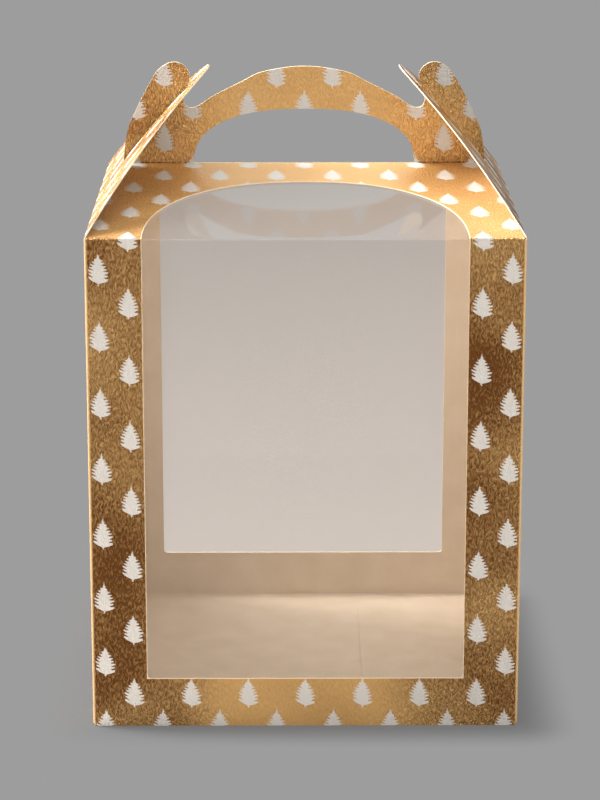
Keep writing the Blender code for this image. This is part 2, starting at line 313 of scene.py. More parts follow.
def grain_depth(tree, apart, from_corner, v, fir):
    """How deep the grain is pressed, from 0 to 1: the product of what the middles of the front and
    back, their roofs, the corners and the ink leave of it."""
    depth = add(tree, "MapRange", apart, *GRAIN_FROM_MIDDLE, interpolation_type="SMOOTHSTEP")
    smoother = add(tree, "MapRange", v, *SMOOTHER_ON_ROOF)
    smoother = add(tree, "MapRange", v, *ROOF_GRAIN_ENDS, smoother, 0.0)
    on_roof = add(tree, "Math", apart, ROOF_PRINT_HALF, operation="LESS_THAN")
    smoother = add(tree, "Math", smoother, on_roof, operation="MULTIPLY")
    left = add(tree, "Math", smoother, -1.0, 1.0, operation="MULTIPLY_ADD")
    depth = add(tree, "Math", depth, left, operation="MULTIPLY")
    left = add(tree, "MapRange", from_corner, *GRAIN_FROM_CORNER)
    depth = add(tree, "Math", depth, left, operation="MULTIPLY")
    left = add(tree, "Math", fir, -INK_FILLS, 1.0, operation="MULTIPLY_ADD")
    return add(tree, "Math", depth, left, operation="MULTIPLY")


def pulp_line_and_corner_highlight(tree, apart, from_corner, v):
    """How far the colour goes to cream, from 0 to 1. The die cut crushes the foil in a thin line
    round the window, whose arch is (across / half width)^power + (up / height)^power = 1, which
    shows the pulp, and a painted highlight pales the folds at the box's corners."""
    across = add(tree, "Math", apart, WINDOW_HALF * MM, operation="DIVIDE")
    across = add(tree, "Math", across, ARCH_POWER, operation="POWER")
    rise = add(tree, "Math", v, ARCH_HEIGHT * MM, operation="DIVIDE")
    rise = add(tree, "Math", rise, 0.0, operation="MAXIMUM")
    rise = add(tree, "Math", rise, ARCH_POWER, operation="POWER")
    reach = add(tree, "Math", across, rise, operation="ADD")
    beside = add(tree, "MapRange", reach, 1.0 + BARE_RIM, 1.0 + BARE_FULL * BARE_RIM)
    above = (WINDOW_FOOT - BARE_SILL, WINDOW_FOOT - BARE_FULL * BARE_SILL)
    toward_cream = add(tree, "Math", beside, add(tree, "MapRange", v, *above), operation="MULTIPLY")
    corner_highlight = add(tree, "MapRange", from_corner, *CORNER_HIGHLIGHT)
    return add(tree, "Math", toward_cream, corner_highlight, operation="MAXIMUM")


def foil_board():
    """Foil-laminated paperboard with a crinkle emboss, offset-printed: satin gold metal with a fine
    upright leather grain, and matt pearl-white firs whose ink dulls the foil. The grain is pressed
    shallower over the middle of the front and back, on their roofs and along the corners, which
    look smoother, and paler for the painted shade that follows the grain's depth. Its wrinkles are
    about
    1.2 mm apart and 3.5 mm long. The gold's colour also holds a painted reflection, painted shade
    in the grooves and in the crease at the handle's foot, and a painted highlight along the
    corners."""
    finish, tree = new_finish("gold_foil_paperboard_embossed")
    sheet = add(tree, "UVMap", uv_map="sheet")
    place = add(tree, "SeparateXYZ", sheet)
    u, v = place.outputs["X"], place.outputs["Y"]
    fir = fir_mask(tree, u, v)
    # the distance from the middle of the front or back, whichever is nearer, and from a corner
    turns = add(tree, "Math", u, HALF_ROUND, operation="DIVIDE")
    whole = add(tree, "Math", turns, operation="ROUND")
    apart = add(tree, "Math", turns, whole, operation="SUBTRACT")
    apart = add(tree, "Math", apart, operation="ABSOLUTE")
    apart = add(tree, "Math", apart, HALF_ROUND, operation="MULTIPLY")
    from_corner = add(tree, "Math", apart, BOX_WIDTH / 2 * MM, operation="SUBTRACT")
    from_corner = add(tree, "Math", from_corner, operation="ABSOLUTE")
    depth = grain_depth(tree, apart, from_corner, v, fir)
    # the grain, from a noise that is bent and stretched, on the board's own waviness
    bend = add(tree, "TexNoise", noise_dimensions="2D", named={
        "Vector": sheet, "Scale": GRAIN_BEND_SCALE, "Detail": 2.0,
    })
    bend = bend.outputs["Color"]
    bent = add(tree, "VectorMath", bend, GRAIN_BEND, sheet, operation="MULTIPLY_ADD")
    long = add(tree, "Mapping", bent, named={"Scale": GRAIN_STRETCH})
    worm = add(tree, "TexNoise", noise_dimensions="2D", named={
        "Vector": long, "Scale": 1.0, "Detail": 2.0, "Roughness": 0.5,
    })
    ridge = add(tree, "MapRange", worm, *GRAIN_RIDGES)
    fine = add(tree, "TexNoise", noise_dimensions="2D", named={
        "Vector": long, "Scale": FINE_SCALE, "Detail": 1.0,
    })
    grain = add(tree, "Math", fine, FINE_SHARE, ridge, operation="MULTIPLY_ADD")
    grain = add(tree, "Math", grain, depth, operation="MULTIPLY")
    wave = add(tree, "TexNoise", noise_dimensions="2D", named={
        "Vector": sheet, "Scale": WAVE_SCALE, "Detail": 1.0,
    })
    relief = add(tree, "Math", wave, WAVE_SHARE, grain, operation="MULTIPLY_ADD")
    bump = add(tree, "Bump", named={"Strength": 1.0, "Distance": GRAIN_HEIGHT, "Height": relief})
    # the gold's tone: painted reflection in broad spots, painted shade in the grooves and where the
    # grain is deep, and a line of painted shade in the crease along the handle's foot
    painted_reflection = add(tree, "TexNoise", noise_dimensions="2D", named={
        "Vector": add(tree, "VectorMath", sheet, REFLECTION_PATCHES_FROM, operation="ADD"),
        "Scale": REFLECTION_PATCH_SCALE, "Detail": 1.0,
    })
    painted_reflection = add(tree, "Math", painted_reflection, 0.5, operation="SUBTRACT")
    painted_reflection = add(tree, "Math", painted_reflection, depth, operation="MULTIPLY")
    # painted shade in the grooves
    tone = add(tree, "Math", grain, GROOVE_SHADE, PLAIN_TONE, operation="MULTIPLY_ADD")
    tone = add(tree, "Math", painted_reflection, REFLECTION_PATCH_TONE, tone, operation="MULTIPLY_ADD")
    # painted shade where the grain is deep
    deep_grain_shade = add(tree, "MapRange", v, *DEEP_GRAIN_SHADE)
    tone = add(tree, "Math", depth, deep_grain_shade, tone, operation="MULTIPLY_ADD")
    # a line of painted shade in the crease at the handle's foot
    crease_shade = add(tree, "Math", v, HANDLE_FOOT, operation="SUBTRACT")
    crease_shade = add(tree, "Math", crease_shade, operation="ABSOLUTE")
    crease_shade = add(tree, "MapRange", crease_shade, *CREASE_SHADE)
    gold = add(tree, "ValToRGB", add(tree, "Math", tone, crease_shade, operation="ADD"))
    two_tone(gold, 0.1, GOLD_DARK, 0.95, GOLD_LIGHT)
    # cream pulp along the window's cut, and a painted highlight along the corners
    toward_cream = pulp_line_and_corner_highlight(tree, apart, from_corner, v)
    inked = add(tree, "MixRGB", fir, gold, hex_colour(FIR_INK))
    colour = add(tree, "MixRGB", toward_cream, inked, hex_colour(PULP_AND_HIGHLIGHT_CREAM))
    # ink, bare pulp and the painted highlight on the corners are duller and rougher than the foil
    dull = add(tree, "Math", fir, toward_cream, operation="MAXIMUM")
    metal = add(tree, "Math", depth, METAL_OF_GRAIN, METAL, operation="MULTIPLY_ADD")
    metal = add(tree, "Math", dull, -INK_DULLS, metal, operation="MULTIPLY_ADD", use_clamp=True)
    satin = add(tree, "Math", fine, ROUGHER_GRAIN, FOIL_ROUGHNESS, operation="MULTIPLY_ADD")
    rough = add(tree, "Math", dull, ROUGHER_INK, satin, operation="MULTIPLY_ADD")
    add(tree, "OutputMaterial", add(tree, "BsdfPrincipled", named={
        "Base Color": colour, "Metallic": metal, "Roughness": rough, "Normal": bump,
        "Specular IOR Level": 0.3, "Coat Weight": 0.2, "Coat Roughness": 0.25,
    }))
    return finish


def plain_board():
    """Uncoated back of recycled paperboard, as pressed: matt tan with short fibres and soft
    mottling."""
    finish, tree = new_finish("uncoated_paperboard_back")
    place = add(tree, "TexCoord").outputs["Object"]
    mottle = add(tree, "TexNoise", named={"Vector": place, "Scale": MOTTLE_SCALE, "Detail": 4.0})
    fibre = add(tree, "TexNoise", named={"Vector": place, "Scale": FIBRE_SCALE, "Detail": 3.0})
    tone = add(tree, "Math", fibre, FIBRE_SHARE, operation="MULTIPLY")
    tone = add(tree, "Math", mottle, 1 - FIBRE_SHARE, tone, operation="MULTIPLY_ADD")
    colour = add(tree, "ValToRGB", tone)
    two_tone(colour, 0.3, "#D6C6B0", 0.7, "#E6D9C8")
    bump = add(tree, "Bump", named={"Strength": 0.4, "Distance": FIBRE_HEIGHT, "Height": fibre})
    add(tree, "OutputMaterial", add(tree, "BsdfPrincipled", named={
        "Base Color": colour, "Roughness": 0.85, "Normal": bump,
    }))
    return finish


def cut_edge():
    """Die-cut edge of the board: bare cream pulp between the foil and the back."""
    finish, tree = new_finish("die_cut_paperboard_edge")
    place = add(tree, "TexCoord").outputs["Object"]
    pulp = add(tree, "TexNoise", named={"Vector": place, "Scale": PULP_SCALE, "Detail": 2.0})
    colour = add(tree, "ValToRGB", pulp)
    two_tone(colour, 0.3, "#EBD3AE", 0.7, "#F8E7CB")
    add(tree, "OutputMaterial", add(tree, "BsdfPrincipled", named={
        "Base Color": colour, "Roughness": 0.8,
    }))
    return finish


def window_film():
    """Clear PVC window film, calendered: it mirrors more at a low angle, and fine scuffs and dust
    scatter a little of the light that falls on it or comes through it. Lamps shine through. The
    mirror and the haze of the thin sheet are on the face that a ray meets first. Along its edges
    the glue wets it to the board, and it shows the board as it is."""
    finish, tree = new_finish("clear_pvc_window_film")
    place = add(tree, "TexCoord").outputs["Object"]
    ripple = add(tree, "TexNoise", named={"Vector": place, "Scale": RIPPLE_SCALE, "Detail": 1.0})
    bump = add(tree, "Bump", named={"Strength": 0.5, "Distance": RIPPLE_HEIGHT, "Height": ripple})
    # 1 where the film is free, and 0 where it is glued
    sheet = add(tree, "SeparateXYZ", add(tree, "UVMap", uv_map="sheet"))
    across = add(tree, "Math", sheet.outputs["X"], operation="ABSOLUTE")
    inside = add(tree, "Math", across, WINDOW_HALF * MM, operation="LESS_THAN")
    above = add(tree, "Math", sheet.outputs["Y"], WINDOW_FOOT, operation="GREATER_THAN")
    free = add(tree, "Math", inside, above, operation="MULTIPLY")
    behind = add(tree, "NewGeometry").outputs["Backfacing"]
    first = add(tree, "Math", behind, -1.0, 1.0, operation="MULTIPLY_ADD")
    first = add(tree, "Math", first, free, operation="MULTIPLY")
    tint = add(tree, "MixRGB", free, hex_colour("#FFFFFF"), hex_colour("#FDFCFB"))
    clear = add(tree, "BsdfTransparent", tint)
    dust = add(tree, "BsdfDiffuse", hex_colour("#F1EBE4"))
    glow = add(tree, "BsdfTranslucent", hex_colour("#F5EADD"))
    haze = add(tree, "MixShader", FILM_GLOW, dust, glow)
    hazy = add(tree, "Math", first, FILM_HAZE, operation="MULTIPLY")
    body = add(tree, "MixShader", hazy, clear, haze)
    gloss = add(tree, "BsdfGlossy", hex_colour("#FFFFFF"), FILM_ROUGHNESS, named={"Normal": bump})
    mirror = add(tree, "Math", first, add(tree, "Fresnel", FILM_IOR, bump), operation="MULTIPLY")
    seen = add(tree, "MixShader", mirror, body, gloss)
    tint = add(tree, "MixRGB", free, hex_colour("#FFFFFF"), hex_colour("#DAD7D4"))
    dimmed = add(tree, "BsdfTransparent", tint)
    shadow = add(tree, "LightPath").outputs["Is Shadow Ray"]
    add(tree, "OutputMaterial", add(tree, "MixShader", shadow, seen, dimmed))
    return finish


BOARD_FINISHES = (foil_board(), plain_board(), cut_edge())
FILM_FINISHES = (window_film(),)


# Folding: a frame is four rows, a point on a crease and the unit vectors along the crease, from it
# into the panel, and out of the panel's printed face

def crease_frame(origin, along, into):
    return np.array([origin, along, into, np.cross(along, into)], float)


def folded(base, y, turn):
    """The frame of a crease at distance y into a panel, turned about itself:
    into' = into cos + out sin."""
    into = math.cos(turn) * base[2] + math.sin(turn) * base[3]
    return crease_frame(base[0] + y * base[2], base[1], into)


def flat_on(base, depth=0.0):
    """Sheet to space for a flat panel: origin + x along + y into + (z - depth) out."""
    def lay(x, y, z):
        x, y, z = x[:, None], y[:, None], z[:, None]
        return base[0] + x * base[1] + y * base[2] + (z - depth) * base[3]
    return lay


def round_over(base, turn, reach):
    """Sheet to space across a fold at y = 0: an arc that touches both panels at reach from the
    crease. Its radius is reach / tan(fold / 2), negative for a fold towards the printed face, and a
    point at angle t stands at centre + x along + (radius + z)(out cos t + into sin t)."""
    angle = -turn
    radius = reach / math.tan(angle / 2)
    centre = base[0] - reach * base[2] - radius * base[3]

    def lay(x, y, z):
        t = ((y + reach) / (2 * reach) * angle)[:, None]
        outwards = np.cos(t) * base[3] + np.sin(t) * base[2]
        return centre + x[:, None] * base[1] + (radius + z)[:, None] * outwards
    return lay


def draped_over(base, turn, reach, depth):
    """Sheet to space for a sheet behind two panels: flat, round over the fold, and flat again."""
    near, far = flat_on(base, depth), flat_on(folded(base, 0, turn), depth)
    bend = round_over(base, turn, reach)

    def lay(x, y, z):
        middle = bend(x, np.clip(y, -reach, reach), z - depth)
        past = np.where(y[:, None] > reach, far(x, y, z), middle)
        return np.where(y[:, None] < -reach, near(x, y, z), past)
    return lay


def bowed_on(base, radius):
    """Sheet to space for a panel bowed away from its printed face about a line along the crease: at
    turn t = y / radius a point lies (radius + z) sin t in and (radius + z) cos t - radius out."""
    def lay(x, y, z):
        t = y / radius
        reach, drop = (radius + z) * np.sin(t), (radius + z) * np.cos(t) - radius
        return base[0] + x[:, None] * base[1] + reach[:, None] * base[2] + drop[:, None] * base[3]
    return lay


# Outlines and grids on the flat sheet

def line(start, end, steps):
    """Evenly spaced points from start to end."""
    return np.linspace(start, end, steps + 1)


def arc(centre, radius, start, end, steps):
    """Points on a circle between two angles in degrees: centre + radius (cos, sin)."""
    angle = np.radians(np.linspace(start, end, steps + 1))
    return np.array(centre) + radius * np.stack([np.cos(angle), np.sin(angle)], 1)


def join(*runs):
    """One run from several, each starting where the last one ends."""
    return np.concatenate([runs[0], *(run[1:] for run in runs[1:])])


def superellipse(half_width, height, power, start, end, steps):
    """Points half_width cos^(2/power), height sin^(2/power) between two angles in degrees."""
    angle = np.radians(np.linspace(start, end, steps + 1))
    c, s = np.cos(angle), np.clip(np.sin(angle), 0, 1)
    across = np.sign(c) * np.abs(c) ** (2 / power)
    return np.stack([half_width * across, height * s ** (2 / power)], 1)


def smooth(points, steps):
    """A Catmull-Rom curve through the points, from b to c between its neighbours a and d:
    b + t((c - a) + t((2a - 5b + 4c - d) + t(3b - a - 3c + d))) / 2."""
    p = np.concatenate([points[:1], points, points[-1:]])
    a, b, c, d = (p[i:len(p) - 3 + i, None] for i in range(4))
    t = (np.arange(steps) / steps)[None, :, None]
    bend = (2 * a - 5 * b + 4 * c - d) + t * (3 * b - a - 3 * c + d)
    curve = b + t * ((c - a) + t * bend) / 2
    return np.concatenate([curve.reshape(-1, 2), points[-1:]])


def finer(run, times):
    """A run with each step cut into several."""
    at = np.linspace(0, len(run) - 1, (len(run) - 1) * times + 1)
    return np.stack([np.interp(at, np.arange(len(run)), run[:, i]) for i in (0, 1)], 1)


def ruled(first, second, across):
    """A grid of straight steps from each point of one run to its partner on another."""
    share = np.linspace(0, 1, across + 1)[None, :, None]
    return first[:, None] * (1 - share) + second[:, None] * share


def mirrored(grid):
    return grid * np.array([-1, 1])


def sheet_of(name, grids, lay, printed, finishes, thickness):
    """A sheet with its printed face where lay puts z = 0 and its back a thickness under it. The
    quads of the grids are welded where they meet, turned to run anticlockwise on the flat sheet,
    and every edge that only one quad has gets a rim. printed gives each point's place in the
    print."""
    starts = np.cumsum([0] + [grid.shape[0] * grid.shape[1] for grid in grids])
    numbers = [np.arange(grid.shape[0] * grid.shape[1]).reshape(grid.shape[:2]) + start
               for start, grid in zip(starts, grids)]
    quads = np.concatenate([
        np.stack([n[:-1, :-1], n[1:, :-1], n[1:, 1:], n[:-1, 1:]], -1).reshape(-1, 4)
        for n in numbers
    ])
    places = np.concatenate([grid.reshape(-1, 2) for grid in grids])
    rounded = np.round(places / WELD).astype(np.int64)
    first, welded = np.unique(rounded, axis=0, return_index=True, return_inverse=True)[1:]
    places, quads = places[first], welded.reshape(-1)[quads]
    x, y = places[quads, 0], places[quads, 1]
    area = (x * np.roll(y, -1, 1) - np.roll(x, -1, 1) * y).sum(1)
    quads = np.where(area[:, None] < 0, quads[:, ::-1], quads)
    count = len(places)
    edges = np.stack([quads, np.roll(quads, -1, 1)], -1).reshape(-1, 2)
    there, back_again = edges[:, 0] * count + edges[:, 1], edges[:, 1] * count + edges[:, 0]
    lone = edges[~np.isin(there, back_again)]
    rim = np.stack([lone[:, 1], lone[:, 0], lone[:, 0] + count, lone[:, 1] + count], 1)
    faces = np.concatenate([quads, quads[:, ::-1] + count, rim])
    x, y = places[:, 0], places[:, 1]
    zero = np.zeros(count)
    points = np.concatenate([lay(x, y, zero), lay(x, y, zero - thickness)])
    mesh = bpy.data.meshes.new(name)
    mesh.from_pydata(points.tolist(), [], faces.tolist())
    mesh.polygons.foreach_set("use_smooth", np.ones(len(faces), bool))
    for finish in finishes:
        mesh.materials.append(finish)
    slots = np.repeat(np.arange(3) % len(finishes), [len(quads), len(quads), len(rim)])
    mesh.polygons.foreach_set("material_index", slots.astype(np.int32))
    print_places = np.tile(np.stack(printed(x, y), 1) * MM, (2, 1))[faces.ravel()]
    uv = mesh.uv_layers.new(name="sheet")
    uv.data.foreach_set("uv", print_places.ravel().astype(np.float32))
    mesh.set_sharp_from_angle(angle=SMOOTH_UNDER)
    mesh.update()
    piece = bpy.data.objects.new(name, mesh)
    bpy.context.scene.collection.objects.link(piece)
    return piece


def print_from(u, v, quarters=0):
    """A panel's place in the print: its origin at u, v, and its x turned down by quarter turns."""
    c, s = ((1, 0), (0, 1), (-1, 0), (0, -1))[quarters]
    return lambda x, y: (u + c * x + s * y, v - s * x + c * y)


def board(name, grids, lay, printed, body, *nodes):
    """A panel of the board that moves with a body and stands for its CAD nodes."""
    piece = sheet_of(name, grids, lay, printed, BOARD_FINISHES, BOARD)
    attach(piece, body)
    if nodes:
        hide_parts(*nodes)


def crease(name, base, turn, spans, printed, first, second, reach=CREASE_GAP):
    """The strip of board that bends between two panels, over each span along the crease."""
    grids = [ruled(line((a, -reach), (b, -reach), 24), line((a, reach), (b, reach), 24), 10)
             for a, b in spans]
    lay = round_over(base, turn, reach)
    piece = sheet_of(name, grids, lay, printed, BOARD_FINISHES, BOARD)
    # the bend starts and ends on the strip's inner face
    inner = np.array([0.0 if turn > 0 else -BOARD])
    start, end = (lay(np.zeros(1), np.array([y]), inner)[0] for y in (-reach, reach))
    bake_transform(piece)
    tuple(start)
    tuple(end)


# Panels

def window_wall(foot, left, right):
    """A wall round its window: the window's U from top left to top right, ruled to the edge."""
    top = WALL_HEIGHT - CREASE_GAP
    inner, sill = WINDOW_HALF - WINDOW_CORNER, WINDOW_SILL + WINDOW_CORNER
    window = join(
        line((-WINDOW_HALF, top), (-WINDOW_HALF, sill), 48),
        arc((-inner, sill), WINDOW_CORNER, 180, 270, 8),
        line((-inner, WINDOW_SILL), (inner, WINDOW_SILL), 36),
        arc((inner, sill), WINDOW_CORNER, 270, 360, 8),
        line((WINDOW_HALF, sill), (WINDOW_HALF, top), 48),
    )
    outer = join(
        line((left, top), (left, sill), 48), line((left, sill), (left, foot), 4),
        line((left, foot), (-inner, foot), 4), line((-inner, foot), (inner, foot), 36),
        line((inner, foot), (right, foot), 4), line((right, foot), (right, sill), 4),
        line((right, sill), (right, top), 48),
    )
    return ruled(window, outer, 6)


def roof():
    """A roof round its arch: the arch from its right foot over its crown, ruled to the edge."""
    foot, ridge = CREASE_GAP, ROOF_LENGTH - CREASE_GAP
    cut = superellipse(WINDOW_HALF, ARCH_HEIGHT, ARCH_POWER, 0, 180, 96)
    cut[:, 1] = np.maximum(cut[:, 1], foot)
    outer = join(
        line((ROOF_FOOT_HALF, foot), (RIDGE_HALF, ridge), 32),
        line((RIDGE_HALF, ridge), (-RIDGE_HALF, ridge), 32),
        line((-RIDGE_HALF, ridge), (-ROOF_FOOT_HALF, foot), 32),
    )
    return ruled(cut, outer, 8)


def handle():
    """Half the strap, ruled from the hand hole to its top edge, and an ear, ruled from side to
    side, with both mirrored. They meet on a line from the hole to the foot of the notch beside the
    ear."""
    steps, across, notch = 4, 8, len(STRAP_SHARES)
    lobe = notch + EAR_INNER_POINTS
    strap = np.array(STRAP_SHARES) * (HOLE_HALF, STRAP_HEIGHT)
    ear = (RIDGE_HALF, 0) + np.array(EAR_SHARES) * (-FOOT_WIDTH, EAR_HEIGHT)
    contour = smooth(np.concatenate([strap, ear]), steps)
    crown_side = superellipse(HOLE_HALF, HOLE_HEIGHT, HOLE_POWER, 90, HOLE_SIDE, notch * steps)
    foot_side = superellipse(HOLE_HALF, HOLE_HEIGHT, HOLE_POWER, HOLE_SIDE, 0, 12)[::-1]
    foot_side[:, 1] = np.maximum(foot_side[:, 1], CREASE_GAP)
    half_strap = ruled(crown_side, contour[:notch * steps + 1], across)
    inner = join(foot_side, half_strap[-1], contour[notch * steps:lobe * steps + 1])
    ear_side = contour[:(lobe + 2) * steps - 1:-1]
    outer = join(line((RIDGE_HALF, CREASE_GAP), contour[-1], 2), ear_side)
    half_ear = ruled(inner, finer(outer, 2), across)
    half_ear[-1] = contour[lobe * steps:(lobe + 2) * steps + 1]
    return [half_strap, half_ear, mirrored(half_strap), mirrored(half_ear)]


def lock_flap():
    """Half a flap, ruled from the slot round to the outer edge, and its mirror image."""
    root, x = BOX_DEPTH / 2 - CORNER_GAP, SLOT_HALF - SLOT_CORNER
    rise = FLAP_LENGTH - FLAP_TIP_RADIUS
    spread = math.acos(FLAP_TIP_RADIUS / math.hypot(root, rise))
    tangent = math.degrees(spread - math.atan2(rise, root))
    tip = arc((0, rise), FLAP_TIP_RADIUS, tangent, 90, 14)
    low, high = SLOT_START + SLOT_CORNER, SLOT_END - SLOT_CORNER
    slot = join(
        line((0, SLOT_START), (x, SLOT_START), 8),
        arc((x, low), SLOT_CORNER, 270, 360, 4),
        line((SLOT_HALF, low), (SLOT_HALF, high), 36),
        arc((x, high), SLOT_CORNER, 0, 90, 4),
        line((x, SLOT_END), (0, SLOT_END), 10),
    )
    outer = join(
        line((0, CREASE_GAP), (root, CREASE_GAP), 12), line((root, CREASE_GAP), tip[0], 36), tip,
    )
    half = ruled(slot, outer, 12)
    return [half, mirrored(half)]


def tab(root_half, end_half, low, high, corner):
    """A tab on its crease with two rounded corners, ruled from side to side."""
    right = join(
        line((root_half, low), (end_half, high - corner), 16),
        arc((end_half - corner, high - corner), corner, 0, 90, 10),
    )
    return ruled(mirrored(right), right, 24)


def plain(left, right, low, high, left_cut=0.0):
    """A plain panel, ruled from its left to its right edge, the left one cut back at a slant."""
    left_edge = line((left, low + left_cut), (left, high - left_cut), 24)
    return ruled(left_edge, line((right, low), (right, high), 24), 12)


def corner_strip(low, high):
    """The strip of board round an upright corner, in steps up the box and round the bend."""
    before = line((low, -CORNER_GAP), (high, -CORNER_GAP), 40)
    after = line((low, CORNER_GAP), (high, CORNER_GAP), 40)
    return ruled(before, after, 10)


def film_pane(side, shoulder, turn):
    """The window's film, one sheet glued behind wall and roof, draped over the shoulder crease."""
    rows = np.concatenate([
        np.linspace(WINDOW_SILL - FILM_MARGIN - WALL_HEIGHT, -FILM_BEND, 25)[:-1],
        np.linspace(-FILM_BEND, FILM_BEND, 13),
        np.linspace(FILM_BEND, ARCH_HEIGHT + FILM_MARGIN, 13)[1:],
    ])
    edge_x = np.full_like(rows, WINDOW_HALF + FILM_MARGIN)
    grid = ruled(np.stack([-edge_x, rows], 1), np.stack([edge_x, rows], 1), 12)
    lay = draped_over(shoulder, turn, FILM_BEND, FILM_DEPTH)
    pane = sheet_of(side + "_pane", [grid], lay, print_from(0, 0), FILM_FINISHES, FILM)
    start, end = (
        lay(np.zeros(1), np.array([y]), np.array([-FILM]))[0] for y in (-FILM_BEND, FILM_BEND)
    )
    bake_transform(pane)
    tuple(start)
    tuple(end)
    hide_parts(side + "_window_film", side + "_roof_window_film")


# Wall frames, with their origins at the foot of each wall, and where each wall lies in the print
half_width, half_depth = BOX_WIDTH / 2, BOX_DEPTH / 2
UP, DOWN = (0, 0, 1), (0, 0, -1)
walls = {
    "front": crease_frame((0, -half_depth, 0), (1, 0, 0), UP),
    "right": crease_frame((half_width, 0, 0), (0, 1, 0), UP),
    "back": crease_frame((0, half_depth, 0), (-1, 0, 0), UP),
    "left": crease_frame((-half_width, 0, 0), (0, -1, 0), UP),
}
print_at = {
    "front": 0.0,
    "right": half_width + half_depth,
    "back": BOX_WIDTH + BOX_DEPTH,
    "left": -half_width - half_depth,
}
handle_v = HANDLE_FOOT / MM
lean_in = ROOF_SLOPE - math.pi / 2
quarter = math.pi / 2
wall_top = WALL_HEIGHT - CREASE_GAP
wall_foot = DUST_LEVEL + CORNER_GAP
flat_half = half_width - CORNER_GAP
side_half = half_depth - CORNER_GAP

for side, foot, end in (
    ("front", 0.0, flat_half), ("back", CORNER_GAP, half_width - EDGE_INSET),
):
    wall, u = walls[side], print_at[side]
    body, ply = side + "_roof", side + "_handle"
    grids = [window_wall(foot, -flat_half, end)]
    board(side + "_wall", grids, flat_on(wall), print_from(u, -WALL_HEIGHT), "sleeve",
          side + "_panel")
    shoulder = folded(wall, WALL_HEIGHT, 0)
    slope = folded(shoulder, 0, lean_in)
    board(side + "_slope", [roof()], flat_on(slope), print_from(u, 0), body, side + "_roof_panel")
    spans = ((-ROOF_FOOT_HALF, -WINDOW_HALF), (WINDOW_HALF, ROOF_FOOT_HALF))
    crease(side + "_shoulder_crease", shoulder, lean_in, spans, print_from(u, 0), "sleeve", body)
    ridge = folded(slope, ROOF_LENGTH, 0)
    grip = flat_on(folded(ridge, 0, -lean_in))
    printed = print_from(u, handle_v)
    board(side + "_grip", handle(), grip, printed, ply, side + "_handle_panel")
    spans = ((-RIDGE_HALF, -HOLE_HALF), (HOLE_HALF, RIDGE_HALF))
    crease(side + "_ridge_crease", ridge, -lean_in, spans, printed, body, ply)
    film_pane(side, shoulder, lean_in)

for side in ("left", "right"):
    wall, u = walls[side], print_at[side]
    # the left wall stops short of the back corner, where it turns in to the seam flap
    end = -side_half + (FILM_DEPTH if side == "left" else 0.0)
    grids = [plain(end, side_half, wall_foot, wall_top)]
    board(side + "_wall", grids, flat_on(wall), print_from(u, -WALL_HEIGHT), "sleeve",
          side + "_side_panel")
    shoulder = folded(wall, WALL_HEIGHT, 0)
    lay = bowed_on(folded(shoulder, 0, -FLAP_LEAN), FLAP_BOW_RADIUS)
    lock, dust = side + "_lock", side + "_dust"
    board(side + "_flap", lock_flap(), lay, print_from(u, 0), lock, side + "_lock_flap")
    spans = ((-side_half, side_half),)
    crease(side + "_flap_crease", shoulder, -FLAP_LEAN, spans, print_from(u, 0), "sleeve", lock)
    hinge = crease_frame(wall[0] + (0, 0, DUST_LEVEL), -wall[1], DOWN)
    lay = flat_on(folded(hinge, 0, -quarter))
    printed = print_from(u, DUST_LEVEL - WALL_HEIGHT, 2)
    dust_half, dust_end = half_depth - DUST_SIDE_GAP, DUST_LENGTH + BOARD
    grids = [tab(dust_half, dust_half - DUST_TAPER, CORNER_GAP, dust_end, DUST_CORNER)]
    board(side + "_dust_tab", grids, lay, printed, dust, side + "_dust_flap")
    spans = ((-dust_half, dust_half),)
    crease(side + "_dust_crease", hinge, -quarter, spans, printed, "sleeve", dust, CORNER_GAP)

# Corners: round strips that run down the box
strip = [corner_strip(-wall_top, -wall_foot)]
for name, side, far, u in (
    ("front_right", "front", half_width, half_width),
    ("back_right", "right", half_depth, half_width + BOX_DEPTH),
    ("front_left", "left", half_depth, -half_width),
):
    wall = walls[side]
    lay = round_over(crease_frame(wall[0] + far * wall[1], DOWN, wall[1]), -quarter, CORNER_GAP)
    board(name + "_corner", strip, lay, print_from(u, -WALL_HEIGHT, 1), "sleeve")

# At the back left corner the left wall turns in, and its seam flap is glued inside the back wall
seam_inset = np.array([0, -FILM_DEPTH, 0])
seam_corner = crease_frame((-half_width, half_depth, 0) + seam_inset, UP, (0, 1, 0))
printed = print_from(FILM_DEPTH - half_width - BOX_DEPTH, -WALL_HEIGHT, 3)
board("back_left_corner", [corner_strip(wall_foot, wall_top)],
      round_over(seam_corner, -quarter, CORNER_GAP), printed, "sleeve")
behind = walls["back"].copy()
behind[0] += seam_inset
low, high = SEAM_FOOT, WALL_HEIGHT - SEAM_END
grids = [plain(flat_half - SEAM_WIDTH, flat_half, low, high, SEAM_WIDTH / 2)]
printed = print_from(print_at["back"], -WALL_HEIGHT)
board("seam_flap", grids, flat_on(behind), printed, "sleeve", "glue_seam_flap")

